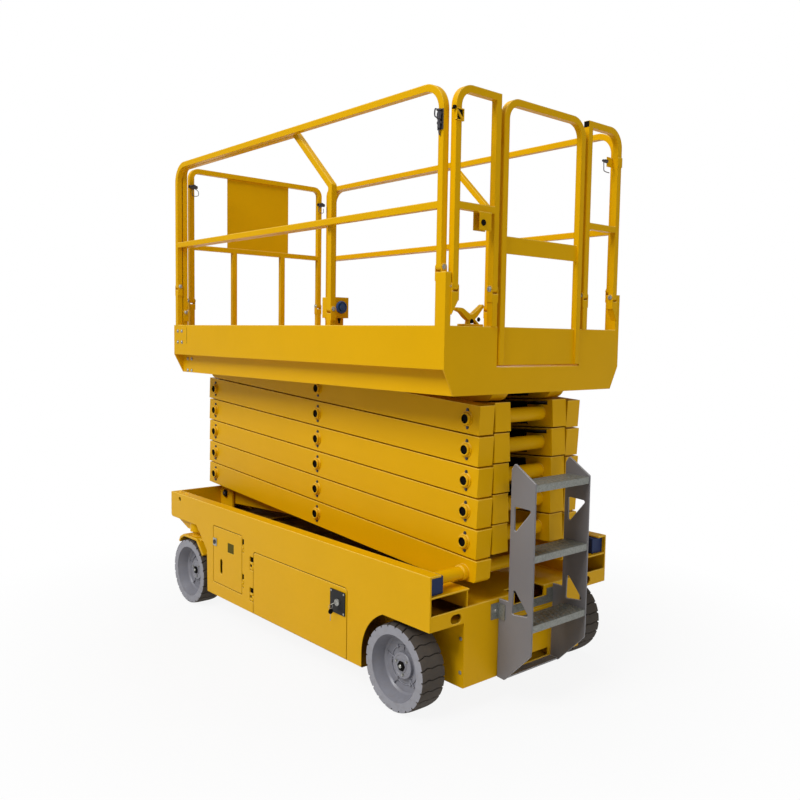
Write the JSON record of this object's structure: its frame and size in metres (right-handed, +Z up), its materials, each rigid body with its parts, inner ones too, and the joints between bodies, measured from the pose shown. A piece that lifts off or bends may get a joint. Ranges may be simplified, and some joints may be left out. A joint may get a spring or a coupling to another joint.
{
  "type": "electric scissor lift",
  "caption": "Self-propelled scissor lift: wheeled chassis with side doors and ladder, stacked crossed arms, and a railed platform with roll-out deck and gate.",
  "frame": {"origin": "on the ground, under the middle of the overall length and width", "axes": "+X forward, towards the steered wheels; +Y left; +Z up"},
  "size_m": [2.528, 1.214, 2.6099],
  "materials": {
    "yellow_paint": "satin powder coat",
    "tyre": "matt non-marking solid rubber",
    "rim": "grey paint",
    "ladder_grey": "grey paint",
    "galvanised": "galvanised",
    "wear_block": "moulded nylon",
    "chrome": "hard chrome",
    "black_paint": "black paint",
    "battery_case": "moulded",
    "control_case": "moulded",
    "floor_plate": "ribbed"
  },
  "bodies": {
    "chassis": {"side_frame_left": "yellow_paint", "side_frame_right": "yellow_paint", "chassis_box": "yellow_paint", "chassis_deck": "yellow_paint", "rear_frame": "yellow_paint", "front_frame": "yellow_paint", "battery_pack": "battery_case", "pump_and_tank": "black_paint", "ground_controls": "control_case", "ladder": "ladder_grey", "ladder_bracket": "galvanised", "ladder_steps": "galvanised", "rear_axle": "yellow_paint"},
    "battery_door": {"battery_door": "yellow_paint"},
    "pump_door": {"pump_door": "yellow_paint"},
    "control_door": {"control_door": "yellow_paint"},
    "knuckle_left": {"knuckle_left": "yellow_paint"},
    "knuckle_right": {"knuckle_right": "yellow_paint"},
    "tie_rod": {"tie_rod": "yellow_paint"},
    "wheel_front_left": {"tyre_front_left": "tyre", "rim_front_left": "rim"},
    "wheel_front_right": {"tyre_front_right": "tyre", "rim_front_right": "rim"},
    "wheel_rear_left": {"tyre_rear_left": "tyre", "rim_rear_left": "rim"},
    "wheel_rear_right": {"tyre_rear_right": "tyre", "rim_rear_right": "rim"},
    "inner_arm_1": {"inner_arm_1": "yellow_paint"},
    "outer_arm_1": {"outer_arm_1": "yellow_paint"},
    "inner_arm_2": {"inner_arm_2": "yellow_paint"},
    "outer_arm_2": {"outer_arm_2": "yellow_paint"},
    "inner_arm_3": {"inner_arm_3": "yellow_paint"},
    "outer_arm_3": {"outer_arm_3": "yellow_paint"},
    "inner_arm_4": {"inner_arm_4": "yellow_paint"},
    "outer_arm_4": {"outer_arm_4": "yellow_paint"},
    "inner_arm_5": {"inner_arm_5": "yellow_paint"},
    "outer_arm_5": {"outer_arm_5": "yellow_paint"},
    "inner_arm_6": {"inner_arm_6": "yellow_paint"},
    "outer_arm_6": {"outer_arm_6": "yellow_paint"},
    "platform": {"platform_frame": "yellow_paint", "platform_floor": "floor_plate"},
    "low_slides": {"low_slides": "wear_block"},
    "top_slides": {"top_slides": "wear_block"},
    "low_cylinder_barrel": {"low_cylinder_barrel": "black_paint"},
    "low_cylinder_rod": {"low_cylinder_rod": "chrome"},
    "high_cylinder_barrel": {"high_cylinder_barrel": "black_paint"},
    "high_cylinder_rod": {"high_cylinder_rod": "chrome"},
    "extension_deck": {"extension_deck": "yellow_paint", "outlet_box": "yellow_paint"},
    "main_rail_left": {"main_rail_left": "yellow_paint"},
    "main_rail_right": {"main_rail_right": "yellow_paint"},
    "deck_rail_left": {"deck_rail_left": "yellow_paint"},
    "deck_rail_right": {"deck_rail_right": "yellow_paint"},
    "front_rail": {"front_rail": "yellow_paint"},
    "rear_rail_left": {"rear_rail_left": "yellow_paint"},
    "rear_rail_right": {"rear_rail_right": "yellow_paint"},
    "gate": {"gate": "yellow_paint"}
  },
  "joints": [
    {"name": "battery_door_hinge", "type": "hinge", "parent": "chassis", "child": "battery_door", "pos_m": [0.309, 0.597, 0.294], "axis": [0, 0, -1], "range_deg": [0, 90]},
    {"name": "pump_door_hinge", "type": "hinge", "parent": "chassis", "child": "pump_door", "pos_m": [0.309, -0.597, 0.294], "axis": [0, 0, 1], "range_deg": [0, 90]},
    {"name": "control_door_hinge", "type": "hinge", "parent": "chassis", "child": "control_door", "pos_m": [0.408, 0.597, 0.359], "axis": [0, 0, 1], "range_deg": [0, 100]},
    {"name": "steer_left", "type": "hinge", "parent": "chassis", "child": "knuckle_left", "pos_m": [1.024, 0.5435, 0.44], "axis": [0, 0, 1], "range_deg": [-70, 70]},
    {"name": "steer_right", "type": "hinge", "parent": "chassis", "child": "knuckle_right", "pos_m": [1.024, -0.5435, 0.44], "axis": [0, 0, 1], "range_deg": [-70, 70]},
    {"name": "tie_rod_pin", "type": "hinge", "parent": "knuckle_left", "child": "tie_rod", "pos_m": [0.884, 0.5435, 0.409], "axis": [0, 0, 1], "range_deg": [-70, 70]},
    {"name": "wheel_front_left_roll", "type": "hinge", "parent": "knuckle_left", "child": "wheel_front_left", "pos_m": [1.024, 0.5435, 0.1905], "axis": [0, 1, 0], "continuous": true},
    {"name": "wheel_front_right_roll", "type": "hinge", "parent": "knuckle_right", "child": "wheel_front_right", "pos_m": [1.024, -0.5435, 0.1905], "axis": [0, 1, 0], "continuous": true},
    {"name": "wheel_rear_left_roll", "type": "hinge", "parent": "chassis", "child": "wheel_rear_left", "pos_m": [-0.856, 0.5435, 0.1905], "axis": [0, 1, 0], "continuous": true},
    {"name": "wheel_rear_right_roll", "type": "hinge", "parent": "chassis", "child": "wheel_rear_right", "pos_m": [-0.856, -0.5435, 0.1905], "axis": [0, 1, 0], "continuous": true},
    {"name": "lift", "type": "hinge", "parent": "chassis", "child": "inner_arm_1", "pos_m": [1.186, 0, 0.6], "axis": [0, 1, 0], "range_deg": [0, 55.5]},
    {"name": "middle_pin_1", "type": "hinge", "parent": "inner_arm_1", "child": "outer_arm_1", "pos_m": [0.09202, 0, 0.6666], "axis": [0, 1, 0], "range_deg": [-111, 0]},
    {"name": "front_pin_1", "type": "hinge", "parent": "outer_arm_1", "child": "inner_arm_2", "pos_m": [1.186, 0, 0.7332], "axis": [0, 1, 0], "range_deg": [0, 111]},
    {"name": "middle_pin_2", "type": "hinge", "parent": "inner_arm_2", "child": "outer_arm_2", "pos_m": [0.09202, 0, 0.7998], "axis": [0, 1, 0], "range_deg": [-111, 0]},
    {"name": "front_pin_2", "type": "hinge", "parent": "outer_arm_2", "child": "inner_arm_3", "pos_m": [1.186, 0, 0.8664], "axis": [0, 1, 0], "range_deg": [0, 111]},
    {"name": "middle_pin_3", "type": "hinge", "parent": "inner_arm_3", "child": "outer_arm_3", "pos_m": [0.09202, 0, 0.933], "axis": [0, 1, 0], "range_deg": [-111, 0]},
    {"name": "front_pin_3", "type": "hinge", "parent": "outer_arm_3", "child": "inner_arm_4", "pos_m": [1.186, 0, 0.9996], "axis": [0, 1, 0], "range_deg": [0, 111]},
    {"name": "middle_pin_4", "type": "hinge", "parent": "inner_arm_4", "child": "outer_arm_4", "pos_m": [0.09202, 0, 1.0662], "axis": [0, 1, 0], "range_deg": [-111, 0]},
    {"name": "front_pin_4", "type": "hinge", "parent": "outer_arm_4", "child": "inner_arm_5", "pos_m": [1.186, 0, 1.1328], "axis": [0, 1, 0], "range_deg": [0, 111]},
    {"name": "middle_pin_5", "type": "hinge", "parent": "inner_arm_5", "child": "outer_arm_5", "pos_m": [0.09202, 0, 1.1994], "axis": [0, 1, 0], "range_deg": [-111, 0]},
    {"name": "front_pin_5", "type": "hinge", "parent": "outer_arm_5", "child": "inner_arm_6", "pos_m": [1.186, 0, 1.266], "axis": [0, 1, 0], "range_deg": [0, 111]},
    {"name": "middle_pin_6", "type": "hinge", "parent": "inner_arm_6", "child": "outer_arm_6", "pos_m": [0.09202, 0, 1.3326], "axis": [0, 1, 0], "range_deg": [-111, 0]},
    {"name": "platform_pin", "type": "hinge", "parent": "outer_arm_6", "child": "platform", "pos_m": [1.186, 0, 1.3992], "axis": [0, 1, 0], "range_deg": [0, 55.5]},
    {"name": "low_slide_pin", "type": "hinge", "parent": "outer_arm_1", "child": "low_slides", "pos_m": [-1.00195, 0, 0.6], "axis": [0, 1, 0], "range_deg": [0, 55.5]},
    {"name": "top_slide_pin", "type": "hinge", "parent": "inner_arm_6", "child": "top_slides", "pos_m": [-1.00195, 0, 1.3992], "axis": [0, 1, 0], "range_deg": [-55.5, 0]},
    {"name": "low_cylinder_pin", "type": "hinge", "parent": "inner_arm_1", "child": "low_cylinder_barrel", "pos_m": [-0.37717, 0, 0.7152], "axis": [0, 1, 0], "range_deg": [-120.54, 0]},
    {"name": "low_cylinder_stroke", "type": "slide", "parent": "low_cylinder_barrel", "child": "low_cylinder_rod", "axis": [0.9993, 0, 0.0383], "range_m": [0, 0.206]},
    {"name": "high_cylinder_pin", "type": "hinge", "parent": "inner_arm_4", "child": "high_cylinder_barrel", "pos_m": [-0.37717, 0, 1.1148], "axis": [0, 1, 0], "range_deg": [-120.54, 0]},
    {"name": "high_cylinder_stroke", "type": "slide", "parent": "high_cylinder_barrel", "child": "high_cylinder_rod", "axis": [0.9993, 0, 0.0383], "range_m": [0, 0.206]},
    {"name": "deck_roll_out", "type": "slide", "parent": "platform", "child": "extension_deck", "axis": [1, 0, 0], "range_m": [0, 0.9]},
    {"name": "left_rail_fold", "type": "hinge", "parent": "platform", "child": "main_rail_left", "pos_m": [0.243, 0.5725, 1.888], "axis": [1, 0, 0], "range_deg": [0, 90]},
    {"name": "right_rail_fold", "type": "hinge", "parent": "platform", "child": "main_rail_right", "pos_m": [0.243, -0.5725, 1.846], "axis": [-1, 0, 0], "range_deg": [0, 90]},
    {"name": "left_deck_rail_fold", "type": "hinge", "parent": "extension_deck", "child": "deck_rail_left", "pos_m": [-0.29, 0.5375, 1.734], "axis": [1, 0, 0], "range_deg": [0, 90]},
    {"name": "right_deck_rail_fold", "type": "hinge", "parent": "extension_deck", "child": "deck_rail_right", "pos_m": [-0.29, -0.5375, 1.773], "axis": [-1, 0, 0], "range_deg": [0, 90]},
    {"name": "front_rail_fold", "type": "hinge", "parent": "extension_deck", "child": "front_rail", "pos_m": [1.2415, 0, 1.808], "axis": [0, -1, 0], "range_deg": [0, 90]},
    {"name": "rear_left_fold", "type": "hinge", "parent": "platform", "child": "rear_rail_left", "pos_m": [-1.103, 0.423, 1.812], "axis": [0, 1, 0], "range_deg": [0, 90]},
    {"name": "rear_right_fold", "type": "hinge", "parent": "platform", "child": "rear_rail_right", "pos_m": [-1.103, -0.423, 1.812], "axis": [0, 1, 0], "range_deg": [0, 90]},
    {"name": "gate_hinge", "type": "hinge", "parent": "rear_rail_left", "child": "gate", "pos_m": [-1.0955, 0.2848, 2.18], "axis": [0, 0, -1], "range_deg": [-90, 0]}
  ],
  "couplings": [
    {"joint": "steer_right", "follows": "steer_left", "ratio": 1},
    {"joint": "tie_rod_pin", "follows": "steer_left", "ratio": -1},
    {"joint": "middle_pin_1", "follows": "lift", "ratio": -2},
    {"joint": "front_pin_1", "follows": "lift", "ratio": 2},
    {"joint": "middle_pin_2", "follows": "lift", "ratio": -2},
    {"joint": "front_pin_2", "follows": "lift", "ratio": 2},
    {"joint": "middle_pin_3", "follows": "lift", "ratio": -2},
    {"joint": "front_pin_3", "follows": "lift", "ratio": 2},
    {"joint": "middle_pin_4", "follows": "lift", "ratio": -2},
    {"joint": "front_pin_4", "follows": "lift", "ratio": 2},
    {"joint": "middle_pin_5", "follows": "lift", "ratio": -2},
    {"joint": "front_pin_5", "follows": "lift", "ratio": 2},
    {"joint": "middle_pin_6", "follows": "lift", "ratio": -2},
    {"joint": "platform_pin", "follows": "lift", "ratio": 1},
    {"joint": "low_slide_pin", "follows": "lift", "ratio": 1},
    {"joint": "top_slide_pin", "follows": "lift", "ratio": -1},
    {"joint": "low_cylinder_pin", "follows": "lift", "ratio": -2.1629},
    {"joint": "low_cylinder_stroke", "follows": "lift", "m_per_rad": 0.21061},
    {"joint": "high_cylinder_pin", "follows": "lift", "ratio": -2.1629},
    {"joint": "high_cylinder_stroke", "follows": "lift", "m_per_rad": 0.21061},
    {"joint": "left_deck_rail_fold", "follows": "left_rail_fold", "ratio": 1},
    {"joint": "right_deck_rail_fold", "follows": "right_rail_fold", "ratio": 1}
  ]
}
